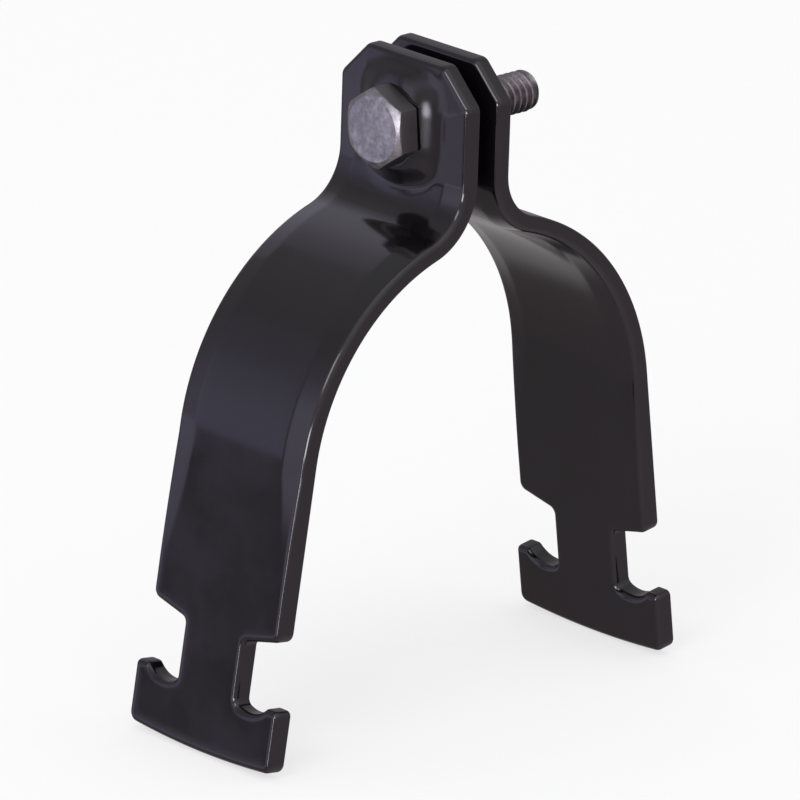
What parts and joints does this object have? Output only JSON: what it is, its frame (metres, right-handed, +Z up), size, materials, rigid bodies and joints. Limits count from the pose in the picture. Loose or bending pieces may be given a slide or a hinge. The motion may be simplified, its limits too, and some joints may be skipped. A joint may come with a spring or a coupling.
{
  "type": "pipe clip",
  "caption": "Two-part strut channel pipe clip: bent steel straps with raised pads and T-shaped hooked feet, drawn together by a hex bolt.",
  "frame": {"origin": "centre of the tube that the clip holds, midway along the straps' width", "axes": "+X along the bolt from its head to its tip, +Y along the tube, +Z up from the feet to the ears"},
  "size_m": [0.0861, 0.0308, 0.1014],
  "materials": {
    "coat": "gloss",
    "zinc": "satin"
  },
  "bodies": {
    "rear_half": {"rear_strap": "coat"},
    "nut": {"hex_nut": "zinc"},
    "front_half": {"front_strap": "coat"},
    "bolt": {"hex_bolt": "zinc"}
  },
  "joints": [
    {"name": "swivel", "type": "hinge", "parent": "rear_half", "child": "nut", "pos_m": [0, 0, 0.0494], "axis": [1, 0, 0], "continuous": true},
    {"name": "draw", "type": "slide", "parent": "nut", "child": "front_half", "axis": [1, 0, 0], "range_m": [-0.01, 0.00315]},
    {"name": "bolt_turn", "type": "hinge", "parent": "front_half", "child": "bolt", "pos_m": [0, 0, 0.0494], "axis": [1, 0, 0], "range_deg": [-2840, 900]}
  ],
  "couplings": [
    {"joint": "bolt_turn", "follows": "draw", "rad_per_m": 4947.4}
  ]
}
